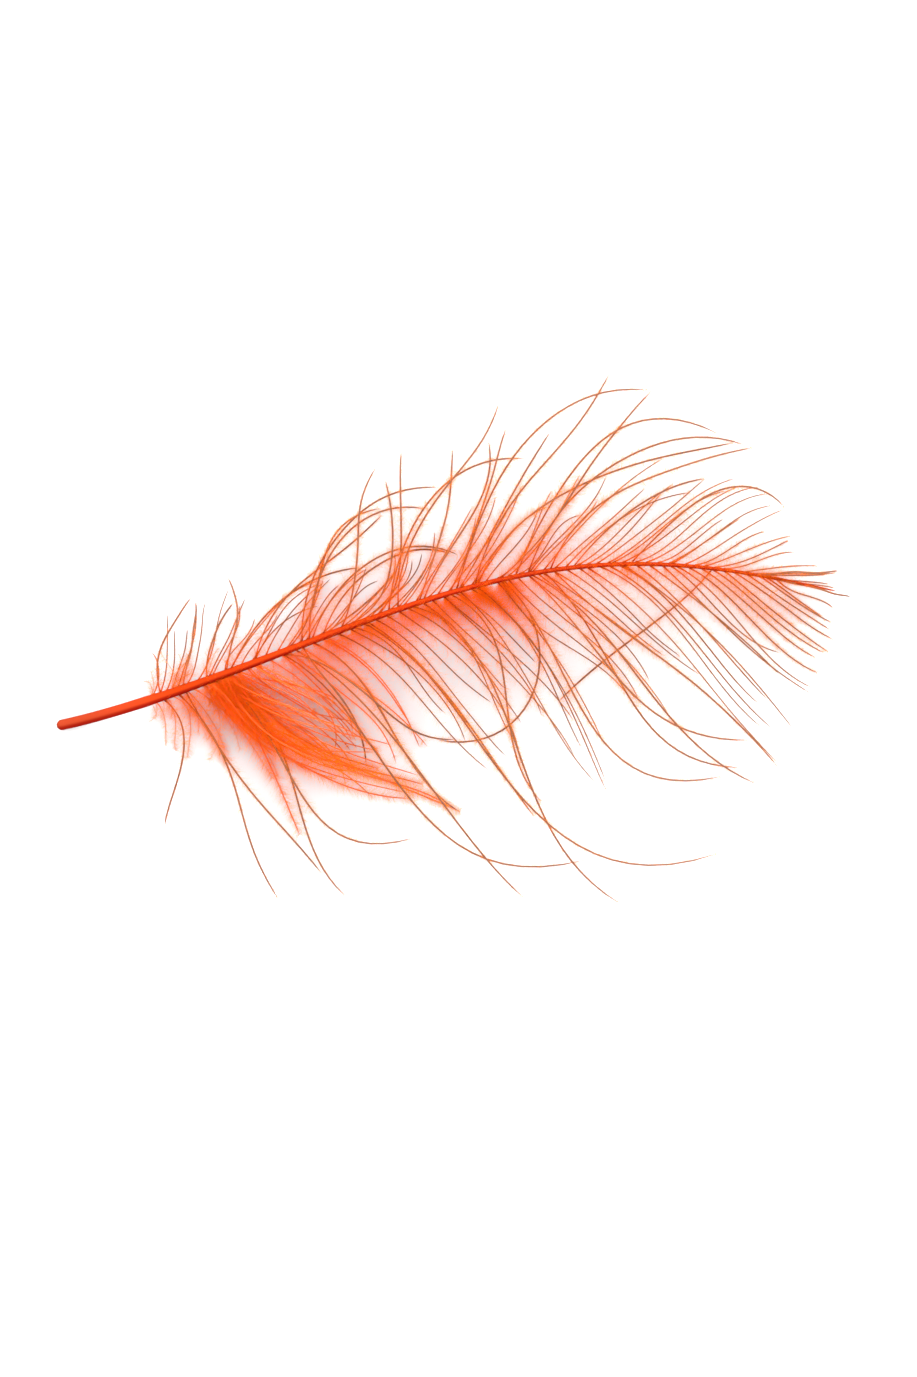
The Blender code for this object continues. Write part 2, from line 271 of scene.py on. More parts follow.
# Each row is a barb measured in the photograph, in metres from the cut end: where it leaves the shaft, then
# three points of it, the last at its tip, each along the feather and across it.
UPPER_VANE = (
    (0.0064, 0.0069, 0.0016, 0.007, 0.0024, 0.0067, 0.0033),
    (0.0069, 0.0076, 0.0024, 0.0079, 0.0039, 0.0081, 0.0056),
    (0.0073, 0.008, 0.0023, 0.0082, 0.0033, 0.00835, 0.0045),
    (0.0077, 0.0085, 0.0024, 0.0089, 0.0033, 0.0092, 0.0044),
    (0.0081, 0.0091, 0.0029, 0.0097, 0.0043, 0.00995, 0.0058),
    (0.0087, 0.0097, 0.0028, 0.01015, 0.0043, 0.0107, 0.0059),
    (0.0094, 0.0106, 0.0029, 0.0112, 0.0044, 0.0121, 0.0065),
    (0.0104, 0.0119, 0.0033, 0.0125, 0.0045, 0.0126, 0.0054),
    (0.0112, 0.0123, 0.0029, 0.013, 0.0035, 0.0135, 0.0044),
    (0.0116, 0.0139, 0.004, 0.0156, 0.00525, 0.018, 0.0062),
    (0.0123, 0.0136, 0.003, 0.0143, 0.0036, 0.015, 0.0044),
    (0.013, 0.0151, 0.0042, 0.0162, 0.0052, 0.0179, 0.00585),
    (0.0139, 0.0157, 0.0041, 0.0168, 0.005, 0.0182, 0.0059),
    (0.0147, 0.0165, 0.0042, 0.0175, 0.0052, 0.0186, 0.0061),
    (0.0153, 0.0169, 0.0039, 0.0176, 0.0049, 0.0182, 0.0061),
    (0.0166, 0.0183, 0.0044, 0.0196, 0.0055, 0.021, 0.0063),
    (0.0174, 0.0192, 0.0039, 0.0204, 0.0049, 0.0216, 0.0054),
    (0.0181, 0.0195, 0.004, 0.0203, 0.0051, 0.021, 0.0064),
    (0.0189, 0.0206, 0.00395, 0.0215, 0.0047, 0.0223, 0.0054),
    (0.0197, 0.0216, 0.0044, 0.0225, 0.0054, 0.0229, 0.007),
    (0.0204, 0.0222, 0.0043, 0.0231, 0.0053, 0.0238, 0.0072),
    (0.0213, 0.023, 0.0046, 0.024, 0.0055, 0.0246, 0.0067),
    (0.0221, 0.0238, 0.0047, 0.0248, 0.0058, 0.0255, 0.0072),
    (0.023, 0.0245, 0.0051, 0.0254, 0.0064, 0.0262, 0.0082),
    (0.0238, 0.0255, 0.0057, 0.0269, 0.0073, 0.0282, 0.009),
    (0.0246, 0.0263, 0.0052, 0.0275, 0.0066, 0.0284, 0.0084),
    (0.0252, 0.027, 0.0057, 0.0284, 0.0071, 0.0298, 0.0094),
    (0.0259, 0.0277, 0.0056, 0.029, 0.0068, 0.0306, 0.0088),
    (0.0267, 0.0284, 0.0056, 0.03, 0.0074, 0.0316, 0.0098),
    (0.0274, 0.0291, 0.0059, 0.031, 0.0074, 0.0336, 0.0088),
    (0.0283, 0.0299, 0.0056, 0.0312, 0.0067, 0.0323, 0.0081),
    (0.029, 0.0309, 0.0055, 0.032, 0.0071, 0.0334, 0.0092),
    (0.0297, 0.0319, 0.0059, 0.0334, 0.0075, 0.0353, 0.0099),
    (0.0304, 0.0321, 0.0054, 0.0332, 0.0066, 0.0349, 0.0074),
    (0.0311, 0.0334, 0.0062, 0.035, 0.0074, 0.0369, 0.0095),
    (0.032, 0.0341, 0.0061, 0.0369, 0.0081, 0.0406, 0.01),
    (0.0327, 0.0348, 0.0056, 0.0368, 0.0068, 0.0392, 0.0083),
    (0.0334, 0.0362, 0.0061, 0.0386, 0.0071, 0.042, 0.0076),
    (0.0341, 0.0364, 0.0054, 0.0384, 0.0068, 0.041, 0.0083),
    (0.0347, 0.0368, 0.0052, 0.0382, 0.0062, 0.0402, 0.0079),
    (0.0353, 0.0376, 0.0052, 0.04, 0.0065, 0.043, 0.0082),
    (0.036, 0.0396, 0.0058, 0.042, 0.0071, 0.0449, 0.008),
    (0.0369, 0.0398, 0.0051, 0.0422, 0.0064, 0.0452, 0.0075),
    (0.0377, 0.0406, 0.0049, 0.0432, 0.0065, 0.0464, 0.0072),
    (0.0384, 0.0416, 0.00495, 0.0436, 0.006, 0.0467, 0.0067),
    (0.0391, 0.0412, 0.00425, 0.0423, 0.0049, 0.0438, 0.0056),
    (0.04, 0.0422, 0.0043, 0.044, 0.0052, 0.0469, 0.00595),
    (0.0408, 0.043, 0.0039, 0.045, 0.00475, 0.0476, 0.0055),
    (0.0414, 0.0432, 0.0034, 0.0446, 0.004, 0.0462, 0.0044),
    (0.042, 0.044, 0.0032, 0.0458, 0.0036, 0.0478, 0.00385),
    (0.0426, 0.0444, 0.00275, 0.046, 0.0031, 0.0476, 0.0036),
    (0.0432, 0.045, 0.00255, 0.0464, 0.0028, 0.0478, 0.0028),
    (0.0438, 0.0456, 0.0022, 0.0473, 0.0021, 0.0491, 0.00185),
    (0.0444, 0.0464, 0.0018, 0.048, 0.0015, 0.0502, 0.0012),
    (0.0453, 0.047, 0.0013, 0.0482, 0.001, 0.0496, 0.00065),
    (0.0466, 0.0476, 0.0009, 0.0488, 0.0005, 0.05, 0.0001),
)
LOWER_VANE = (
    (0.0065, 0.00685, -0.0003, 0.00675, -0.0013, 0.0066, -0.0022),
    (0.0071, 0.0075, -0.0002, 0.0074, -0.0012, 0.0071, -0.0026),
    (0.0076, 0.00845, -0.0004, 0.0083, -0.0016, 0.0078, -0.0032),
    (0.0081, 0.009, -0.0009, 0.0096, -0.0024, 0.0101, -0.004),
    (0.0086, 0.0094, -0.0003, 0.0099, -0.0015, 0.0102, -0.0032),
    (0.009, 0.0106, -0.0007, 0.0118, -0.0029, 0.0129, -0.0054),
    (0.0097, 0.0116, -0.0013, 0.0127, -0.0031, 0.0133, -0.0056),
    (0.0102, 0.0123, -0.0019, 0.014, -0.0041, 0.0169, -0.0064),
    (0.0106, 0.013, -0.0019, 0.0149, -0.0042, 0.0182, -0.0058),
    (0.011, 0.0134, -0.0012, 0.0154, -0.0036, 0.0185, -0.0059),
    (0.0114, 0.0136, -0.0007, 0.0159, -0.0034, 0.0179, -0.0058),
    (0.0119, 0.0143, -0.0008, 0.0166, -0.0029, 0.0182, -0.0064),
    (0.0126, 0.015, -0.0009, 0.0168, -0.0026, 0.018, -0.0046),
    (0.0133, 0.0156, -0.0005, 0.0174, -0.0019, 0.0186, -0.004),
    (0.0141, 0.0164, -0.0003, 0.0181, -0.0024, 0.0199, -0.005),
    (0.0149, 0.0166, 0.0, 0.0177, -0.0016, 0.0188, -0.0034),
    (0.0154, 0.0181, -0.0007, 0.0198, -0.0029, 0.0209, -0.0058),
    (0.0162, 0.0188, -0.0001, 0.0212, -0.0027, 0.02295, -0.0051),
    (0.0169, 0.0196, -0.0005, 0.0208, -0.0034, 0.022, -0.0066),
    (0.0176, 0.0202, 0.0001, 0.0212, -0.0016, 0.0221, -0.0036),
    (0.0186, 0.0215, 0.0001, 0.0234, -0.0028, 0.0264, -0.0073),
    (0.0194, 0.0229, -0.0002, 0.0246, -0.0028, 0.0253, -0.0053),
    (0.0203, 0.0232, 0.0002, 0.0246, -0.0022, 0.026, -0.005),
    (0.0211, 0.0239, 0.0, 0.0255, -0.003, 0.0277, -0.0066),
    (0.0218, 0.0244, 0.0005, 0.0258, -0.0014, 0.0273, -0.0031),
    (0.0226, 0.0257, 0.0002, 0.0274, -0.0024, 0.0285, -0.0074),
    (0.0235, 0.0263, 0.0011, 0.0272, -0.0016, 0.0283, -0.0056),
    (0.0242, 0.0268, 0.0001, 0.0276, -0.0012, 0.0284, -0.0024),
    (0.0248, 0.0278, -0.0002, 0.0296, -0.0027, 0.0319, -0.0074),
    (0.0263, 0.0288, 0.0014, 0.0297, 0.0001, 0.0305, -0.0011),
    (0.0266, 0.0291, -0.0003, 0.0307, -0.0046, 0.033, -0.0092),
    (0.0273, 0.0306, 0.0, 0.0321, -0.0042, 0.0336, -0.0099),
    (0.029, 0.0306, 0.0014, 0.0321, -0.0017, 0.0339, -0.007),
    (0.0293, 0.0316, 0.0005, 0.0337, -0.0014, 0.0359, -0.0041),
    (0.0297, 0.0317, 0.0015, 0.0342, -0.0013, 0.0365, -0.0046),
    (0.0303, 0.0329, 0.0011, 0.0349, -0.0013, 0.0366, -0.0047),
    (0.031, 0.0339, 0.001, 0.0362, -0.002, 0.0382, -0.0058),
    (0.0319, 0.0354, 0.0009, 0.038, -0.0019, 0.041, -0.005),
    (0.0326, 0.0349, 0.0021, 0.0366, 0.0001, 0.0386, -0.0021),
    (0.0334, 0.0359, 0.0017, 0.0382, -0.0011, 0.0406, -0.0036),
    (0.0342, 0.0365, 0.0015, 0.038, -0.0005, 0.0396, -0.0023),
    (0.0347, 0.0381, 0.0003, 0.041, -0.0044, 0.0445, -0.01),
    (0.0355, 0.0387, 0.0009, 0.041, -0.0031, 0.0439, -0.0076),
    (0.0361, 0.0394, 0.0003, 0.042, -0.0041, 0.0445, -0.0078),
    (0.037, 0.0402, 0.0005, 0.043, -0.0033, 0.0459, -0.0081),
    (0.0378, 0.041, -0.0004, 0.043, -0.0035, 0.0446, -0.0059),
    (0.0386, 0.0411, 0.001, 0.0434, -0.0016, 0.0456, -0.0045),
    (0.0394, 0.0419, 0.0001, 0.0446, -0.0033, 0.0473, -0.006),
    (0.0403, 0.0427, 0.0005, 0.0451, -0.0034, 0.0475, -0.0057),
    (0.041, 0.0434, 0.0005, 0.0456, -0.0026, 0.048, -0.0048),
    (0.0418, 0.0441, 0.0004, 0.046, -0.0019, 0.048, -0.0038),
    (0.0425, 0.0448, 0.0002, 0.0467, -0.002, 0.0486, -0.0036),
    (0.0432, 0.0453, 0.0001, 0.047, -0.0018, 0.0489, -0.0036),
    (0.0438, 0.0461, 0.0001, 0.0477, -0.0015, 0.0493, -0.0029),
    (0.0446, 0.0466, 0.0001, 0.0479, -0.0011, 0.0492, -0.0022),
    (0.0454, 0.0472, 0.0, 0.0482, -0.0009, 0.0494, -0.0018),
    (0.0464, 0.048, 0.00015, 0.0489, -0.0003, 0.0497, -0.0009),
)


def measured(rows):
    """Each row's station on the shaft, and its three points as complex numbers: how far from the root along
    the feather, and across it."""
    rows = np.array(rows)
    station = rows[:, 0] / CHORD
    root = shaft_line(station) + OUTLINE_CENTRE
    points = rows[:, 1::2] + 1j * rows[:, 2::2]
    return station, points - (root[:, 0] + 1j * root[:, 1])[:, None]


def barb_lines(station, reach, tip_height, lift):
    """Barbs' centre lines. In plan each is the cubic through its root and its three points, against the
    distance from one to the next. Its height goes from the shaft's to the tip's with the distance to the
    power of 1.25, plus a half wave of the lift. The upper vane's barbs leave the shaft a little above the
    middle of its side, and the lower vane's a little below it."""
    knots = np.concatenate((np.zeros((len(reach), 1)), reach), axis=1)
    place = np.cumsum(np.abs(np.diff(knots, prepend=0)), axis=1)[..., None]
    place = place / place[:, -1:]
    along = np.linspace(0, 1, BARB_POINTS)
    plan = np.zeros((len(reach), BARB_POINTS), complex)
    for knot in range(1, 4):
        weights = [(along - place[:, k]) / (place[:, knot] - place[:, k]) for k in range(4) if k != knot]
        plan += np.prod(weights, axis=0) * knots[:, knot, None]
    upward = reach[:, 0].imag > 0
    start = shaft_line(station)
    start[:, 1] += shaft_radius(station) * np.where(upward, SEAT_ACROSS, -SEAT_ACROSS)
    start[:, 2] += shaft_radius(station) * np.where(upward, UPPER_SEAT_HEIGHT, LOWER_SEAT_HEIGHT)
    rise = (tip_height - start[:, 2])[:, None] * along**1.25 + lift[:, None] * np.sin(np.pi * along)
    return start[:, None] + np.stack((plan.real, plan.imag, rise), axis=-1)


def wavy(lines, size):
    """Lines with a slow sideways wave of random phase whose size grows along them."""
    _, across, _ = frames_along(lines)
    along = np.linspace(0, 1, lines.shape[1])
    phase = rng.uniform(0, 1, (len(lines), 1))
    speed = rng.uniform(0.7, 1.8, (len(lines), 1))
    wave = np.sin(2 * np.pi * (phase + speed * along)) - np.sin(2 * np.pi * phase)
    return lines + across * (wave * size[:, None] * along)[..., None]


def downiness(station):
    """From 1 at the end of the bare quill down to 0 where the downy stretch ends, evenly."""
    return (1 - (station - BARE_STATION) / DOWNY_STRETCH).clip(0, 1)


def vane_barbs(rows, short_share):
    """One vane's barbs: the measured ones, and between each and the next as many more as the spacing leaves
    room for. These are shaped between the two, turn at random by the looseness there, and some cling to the
    measured one: their share of the next one's shape falls along them. Near the quill some are short."""
    stations, reaches = measured(rows)
    gaps = np.diff(stations)
    gap = np.repeat(np.arange(len(gaps)), np.round(gaps * CHORD / BARB_SPACING - 1).clip(0).astype(int))
    share = rng.uniform(0.2, 0.8, gap.size)
    cling = rng.choice(CLINGING, gap.size, p=CLINGING_ODDS)[:, None] * (0.3, 0.8, 1.0)
    station = stations[gap] + share * gaps[gap]
    reach = reaches[gap] + share[:, None] * (1 - cling) * (reaches[gap + 1] - reaches[gap])
    loose = np.radians(np.interp(station, *np.array(LOOSENESS).T))[:, None]
    turn = np.cumsum(rng.normal(0, 1, (gap.size, 3)) * (0.4, 0.5, 0.6), axis=1)
    short = rng.random(gap.size) < short_share * downiness(station)
    stretch = np.where(short, rng.uniform(*SHORT_LENGTHS, gap.size), rng.uniform(*BARB_LENGTHS, gap.size))
    reach = reach * np.exp(1j * loose * turn) * stretch[:, None]
    station = np.concatenate((stations, station))
    reach = np.concatenate((reaches, reach))
    length = np.abs(reach[:, -1])
    grown = (length / GROWN_LENGTH).clip(0, 1)
    tip_height = rng.uniform(*TIP_HEIGHTS, station.size) * grown
    lift = rng.uniform(*LIFTS, station.size) * length / LIFT_LENGTH
    size = (WAVE + DOWNY_WAVE * downiness(station)) * grown**2
    return station, wavy(barb_lines(station, reach, tip_height, lift), size)


def on_surface(lines, radii):
    """Lines raised where they would sink into the surface that the feather lies on."""
    lines[..., 2] = np.maximum(lines[..., 2], radii + CLEARANCE)
    return lines


def barb_radii(lines, stoutness):
    """An even taper by a tenth, plus a flare at the root that falls off exponentially. The last fifth thins
    by a third more, with the square of the distance, before the tip's point."""
    along = np.linspace(0, 1, lines.shape[1])
    profile = 0.90 + 0.10 * (1 - along) + ROOT_FLARE * np.exp(-along / FLARE_LENGTH)
    profile = profile * (1 - END_THINNING * ((along - END_STATION) / (1 - END_STATION)).clip(0) ** 2)
    return BARB_RADIUS * stoutness * profile * np.ones((len(lines), 1))


barb_stops = (
    (0.0, (0.26, 0.020, 0.002)),
    (0.04, (0.46, 0.066, 0.008)),
    (0.15, (0.31, 0.076, 0.018)),
    (0.4, (0.20, 0.076, 0.032)),
    (1.0, (0.19, 0.090, 0.058)),
)
barb_keratin = dyed_keratin(
    "dyed barb keratin", barb_stops, roughness=0.5, shine=0.05, glow=0.3, streaks=(60.0, 2.0)
)
barb_turns = np.linspace(0, 2 * np.pi, BARB_SIDES, endpoint=False)
barb_section = np.stack((np.cos(barb_turns), np.sin(barb_turns)), axis=-1)


def barb_piece(name, lines, keratin, stoutness=1.0):
    """Many barbs as one piece, each with its own place across the map, drawn at random."""
    radii = barb_radii(lines, stoutness)
    tints = rng.uniform(0.01, 0.99, len(lines))
    new_piece(name, *tubes(on_surface(lines, radii), radii, barb_section, tints), keratin)


matted_stops = (
    (0.0, (0.90, 0.125, 0.024)),
    (0.3, (0.82, 0.122, 0.026)),
    (1.0, (0.52, 0.110, 0.036)),
)
matted_keratin = dyed_keratin(
    "matted down", matted_stops, roughness=0.5, shine=0.05, glow=0.3, streaks=(60.0, 2.0)
)
upper_station, upper_lines = vane_barbs(UPPER_VANE, short_share=0.5)
barb_piece("upper_barbs", upper_lines, barb_keratin)
lower_station, lower_lines = vane_barbs(LOWER_VANE, short_share=0.3)
lower_stretch = np.digitize(lower_station, (PALE_STATION, MATTED_STATION, STOUT_STATION))
barb_piece("lower_base_barbs", lower_lines[lower_stretch == 1], matted_keratin)
barb_piece("lower_barbs", lower_lines[lower_stretch == 2], barb_keratin)
barb_piece("lower_tip_barbs", lower_lines[lower_stretch == 3], barb_keratin, stoutness=1.15)


# The tufts at the base
# Where the bare quill ends, short barbs of pale down stand close on both sides. They are the softest part,
# and the lower vane's first barbs are as pale as they are.
TUFT_BARBS = 9  # on each side
TUFT_END = 0.20
TUFT_LOOSENESS = 14.0  # degrees
TUFT_LENGTHS = (0.3, 0.65)  # against the measured barbs there
TUFT_TIP_HEIGHTS = (0.0003, 0.0018)
TUFT_LIFTS = (0.0, 0.0004)


def tuft_barbs(rows):
    """Short barbs at random places between the bare quill and the tuft's end, each shaped as the measured
    ones there but a third to two thirds as long, and turned at random."""
    stations, reaches = measured(rows)
    station = rng.uniform(BARE_STATION + 0.003, TUFT_END, TUFT_BARBS)
    reach = np.stack([np.interp(station, stations, column) for column in reaches.T], axis=1)
    reach = reach * rng.uniform(*TUFT_LENGTHS, TUFT_BARBS)[:, None]
    turn = np.cumsum(rng.normal(0, 1, (TUFT_BARBS, 3)) * (0.8, 0.5, 0.5), axis=1)
    reach = reach * np.exp(1j * np.radians(TUFT_LOOSENESS) * turn)
    tip_height = rng.uniform(*TUFT_TIP_HEIGHTS, TUFT_BARBS)
    lift = rng.uniform(*TUFT_LIFTS, TUFT_BARBS)
    return barb_lines(station, reach, tip_height, lift)


tuft_lines = np.concatenate((tuft_barbs(UPPER_VANE), tuft_barbs(LOWER_VANE)))
tuft_stops = (
    (0.0, (0.80, 0.110, 0.010)),
    (0.3, (0.66, 0.190, 0.080)),
    (1.0, (0.56, 0.270, 0.180)),
)
tuft_keratin = dyed_keratin(
    "pale down", tuft_stops, roughness=0.5, shine=0.05, glow=0.3, streaks=(60.0, 2.0)
)
barb_piece("tuft_barbs", tuft_lines, tuft_keratin, stoutness=0.45)
barb_piece("lower_pale_barbs", lower_lines[lower_stretch == 0], tuft_keratin, stoutness=0.8)


# The loose barbs
# Barbs that left their neighbours and cross them, each measured in the photograph. Past the vane their
# barbules cling to them, so they are the stoutest. At the lower base the dye bath matted a deep orange lock.
FRINGE_STATIONS = (0.195, 0.235)  # the shorter loose barbs from here are matted down too
FRINGE_REACH = -0.0112  # across, and none of them reaches past it
STRAY_STOUTNESS = (0.9, 1.5)  # at the root, and from the place below on
STOUT_FROM = 0.4  # of the barb
STRAY_TIP_HEIGHTS = (0.0, 0.0012)
STRAY_LIFTS = (0.0006, 0.0016)
STRAY_LENGTH = 0.012  # from this length on, a loose barb has its full lift
LOOSE_WAVE = 0.00008  # of the loose barbs and the matted ones
STRAY_BARBS = (
    (0.0084, 0.009, 0.0024, 0.0096, 0.004, 0.0099, 0.006),
    (0.0069, 0.0081, 0.0044, 0.0089, 0.0053, 0.0099, 0.0062),
    (0.01, 0.0111, 0.0041, 0.0116, 0.0048, 0.0122, 0.0056),
    (0.0113, 0.0121, 0.0034, 0.0126, 0.005, 0.0123, 0.0072),
    (0.0116, 0.014, 0.0041, 0.0165, 0.0057, 0.0206, 0.0065),
    (0.017, 0.0189, 0.005, 0.0222, 0.00685, 0.0268, 0.0061),
    (0.0177, 0.0194, 0.0048, 0.0224, 0.0066, 0.0264, 0.0063),
    (0.0132, 0.0166, 0.0058, 0.0192, 0.0073, 0.0226, 0.0093),
    (0.0155, 0.0174, 0.0047, 0.0187, 0.0076, 0.0225, 0.0099),
    (0.0168, 0.0195, 0.0079, 0.022, 0.0095, 0.0252, 0.0094),
    (0.0163, 0.0185, 0.0074, 0.021, 0.0096, 0.0263, 0.0107),
    (0.0178, 0.0196, 0.0035, 0.0214, 0.0045, 0.0229, 0.0059),
    (0.0189, 0.0205, 0.0066, 0.0212, 0.0095, 0.0226, 0.0125),
    (0.0194, 0.0224, 0.0055, 0.0231, 0.0084, 0.0232, 0.0116),
    (0.0214, 0.0233, 0.0064, 0.0238, 0.0092, 0.0245, 0.0132),
    (0.022, 0.0244, 0.0083, 0.0273, 0.0109, 0.032, 0.0115),
    (0.0226, 0.0249, 0.0084, 0.0279, 0.0114, 0.031, 0.0151),
    (0.024, 0.0256, 0.0067, 0.0266, 0.0089, 0.0277, 0.0128),
    (0.0243, 0.0263, 0.0064, 0.0285, 0.009, 0.0299, 0.0129),
    (0.026, 0.0286, 0.0082, 0.0301, 0.0112, 0.0313, 0.0134),
    (0.0264, 0.0294, 0.0092, 0.0328, 0.0128, 0.0404, 0.0143),
    (0.0266, 0.0296, 0.0076, 0.0314, 0.0098, 0.0339, 0.0128),
    (0.0278, 0.031, 0.0074, 0.0362, 0.0094, 0.0452, 0.0104),
    (0.0276, 0.0312, 0.0091, 0.034, 0.0115, 0.0383, 0.0157),
    (0.0292, 0.0333, 0.0074, 0.0368, 0.0111, 0.0406, 0.0143),
    (0.0302, 0.034, 0.0093, 0.0384, 0.0123, 0.0443, 0.0111),
    (0.031, 0.0352, 0.0089, 0.0395, 0.0107, 0.0458, 0.01),
    (0.0324, 0.0366, 0.0079, 0.041, 0.0091, 0.0463, 0.0096),
    (0.0339, 0.0378, 0.0069, 0.0402, 0.0078, 0.043, 0.0082),
    (0.0375, 0.0416, 0.0066, 0.0456, 0.0074, 0.0477, 0.0057),
    (0.045, 0.0468, 0.00175, 0.0486, 0.0015, 0.0504, 0.0012),
    (0.048, 0.049, 0.0003, 0.0499, -0.0001, 0.0508, -0.00055),
    (0.007, 0.0079, -0.0013, 0.0074, -0.0035, 0.0057, -0.0071),
    (0.008, 0.0102, -0.0039, 0.0108, -0.0083, 0.0118, -0.013),
    (0.0085, 0.0102, -0.0033, 0.0124, -0.0075, 0.015, -0.0118),
    (0.0099, 0.0123, -0.0022, 0.0132, -0.0052, 0.014, -0.0092),
    (0.0104, 0.0138, -0.0039, 0.0143, -0.0084, 0.0161, -0.0135),
    (0.0108, 0.0137, -0.0042, 0.0155, -0.0084, 0.021, -0.0107),
    (0.0103, 0.0138, -0.0039, 0.0169, -0.0064, 0.0212, -0.0081),
    (0.0108, 0.0146, -0.0036, 0.0182, -0.0057, 0.0222, -0.0074),
    (0.0112, 0.0154, -0.0044, 0.0194, -0.0065, 0.0235, -0.0091),
    (0.0116, 0.0146, -0.0028, 0.017, -0.0046, 0.0195, -0.0061),
    (0.0115, 0.015, -0.0033, 0.0185, -0.0059, 0.0242, -0.0095),
    (0.0158, 0.0204, -0.0033, 0.0234, -0.0092, 0.0272, -0.0155),
    (0.015, 0.0186, -0.0026, 0.0213, -0.0082, 0.0315, -0.0138),
    (0.015, 0.0187, -0.0001, 0.0212, -0.003, 0.0247, -0.005),
    (0.0163, 0.0173, 0.0002, 0.0184, -0.002, 0.0188, -0.0056),
    (0.017, 0.0198, -0.0009, 0.0213, -0.005, 0.0242, -0.0096),
    (0.0206, 0.0256, -0.0042, 0.03, -0.0117, 0.0398, -0.0148),
    (0.0204, 0.0237, -0.0007, 0.0258, -0.0044, 0.0287, -0.0107),
    (0.0242, 0.0276, -0.0019, 0.0289, -0.0086, 0.0332, -0.017),
    (0.026, 0.0283, 0.0002, 0.0283, -0.0038, 0.0294, -0.0098),
    (0.0292, 0.0308, -0.0006, 0.0296, -0.0034, 0.0236, -0.0049),
    (0.0294, 0.0317, -0.0011, 0.0338, -0.0067, 0.0408, -0.0102),
    (0.031, 0.034, -0.0006, 0.037, -0.0052, 0.0429, -0.0083),
    (0.0312, 0.0355, -0.0009, 0.0381, -0.0056, 0.0429, -0.011),
    (0.032, 0.0352, -0.0026, 0.0373, -0.0069, 0.042, -0.01),
    (0.0326, 0.037, -0.0009, 0.041, -0.0052, 0.0445, -0.0102),
    (0.0424, 0.04, 0.001, 0.036, -0.0011, 0.0315, -0.0038),
)
MATTED_LOCK = (
    (0.01, 0.0112, -0.0007, 0.0122, -0.0021, 0.0132, -0.0034),
    (0.0102, 0.0127, -0.0029, 0.0147, -0.0046, 0.0176, -0.0068),
    (0.0104, 0.0129, -0.0026, 0.0158, -0.0051, 0.02, -0.0072),
    (0.0107, 0.0133, -0.0018, 0.0162, -0.0043, 0.0206, -0.0066),
    (0.011, 0.0134, -0.0009, 0.0156, -0.0027, 0.0184, -0.0056),
    (0.0113, 0.0134, -0.0002, 0.0153, -0.0012, 0.0172, -0.0036),
    (0.0118, 0.0144, -0.0003, 0.0166, -0.002, 0.0187, -0.0043),
    (0.0126, 0.0152, -0.0003, 0.017, -0.0016, 0.0187, -0.0036),
    (0.0134, 0.0159, -0.0001, 0.0176, -0.0013, 0.0188, -0.0032),
)
MATTED_BARBS = 22
MATTED_SPREAD = 5.0  # degrees
MATTED_LENGTHS = (0.7, 1.15)  # against the measured barbs of the lock
MATTED_TIP_HEIGHTS = (0.0012, 0.0026)
MATTED_LIFTS = (0.0003, 0.0011)


def matted_barbs():
    """The matted lock's barbs, seated at random between the measured ones and shaped between them. Each
    turns at random about its root and bends along its length, and many end early."""
    stations, reaches = measured(MATTED_LOCK)
    station = stations[0] + (stations[-1] - stations[0]) * rng.random(MATTED_BARBS) ** 1.4
    reach = np.stack([np.interp(station, stations, column) for column in reaches.T], axis=1)
    turn = np.cumsum(rng.normal(0, 1, (MATTED_BARBS, 3)) * (0.8, 0.6, 0.8), axis=1)
    reach = reach * np.exp(1j * np.radians(MATTED_SPREAD) * turn)
    reach = reach * rng.uniform(*MATTED_LENGTHS, MATTED_BARBS)[:, None]
    tip_height = rng.uniform(*MATTED_TIP_HEIGHTS, MATTED_BARBS)
    lift = rng.uniform(*MATTED_LIFTS, MATTED_BARBS)
    return wavy(barb_lines(station, reach, tip_height, lift), np.full(MATTED_BARBS, LOOSE_WAVE))


stray_station, stray_reach = measured(STRAY_BARBS)
stray_tip_height = rng.uniform(*STRAY_TIP_HEIGHTS, len(STRAY_BARBS))
stray_lift = rng.uniform(*STRAY_LIFTS, len(STRAY_BARBS))
stray_lift = stray_lift * (np.abs(stray_reach[:, -1]) / STRAY_LENGTH).clip(0, 1)
stray_lines = barb_lines(stray_station, stray_reach, stray_tip_height, stray_lift)
stray_lines = wavy(stray_lines, np.full(len(STRAY_BARBS), LOOSE_WAVE))
stray_above = stray_reach[:, 0].imag > 0
fringe = (stray_station > FRINGE_STATIONS[0]) & (stray_station < FRINGE_STATIONS[1]) & ~stray_above
fringe = fringe & (stray_reach[:, -1].imag > FRINGE_REACH)
stray_stoutness = np.interp(np.linspace(0, 1, BARB_POINTS), (0.0, STOUT_FROM), STRAY_STOUTNESS)
barb_piece("stray_barbs", stray_lines[~fringe], barb_keratin, stoutness=stray_stoutness)
barb_piece("fringe_barbs", stray_lines[fringe], matted_keratin, stoutness=1.2)
matted_lines = matted_barbs()
barb_piece("matted_barbs", matted_lines, matted_keratin)


# The barbules
# Finer branches still, along both sides of every barb. In this down they have no hooks, so they stand loose
# all round and fill the gaps with haze, thick next to the shaft and thin near the tips.
BARBULE_RADIUS = 0.0000044
TIP_SHARE = 0.35  # a barbule's length at a barb's tip against the length at its root
PALE_LENGTH = 0.012  # along a barb, from the deepest dyed to the palest
LEAN = (35, 80)  # degrees from the barb
ROLL = 0.6  # in radians around the barb, from level, as a spread
BARBULE_LENGTHS = (0.5, 1.2)  # against the longest at that place
UPPER_PARTS = (0.5, 0.82)  # the stations that part the upper barbs into groups
LOWER_PARTS = (0.19, 0.34, 0.6, 0.82)

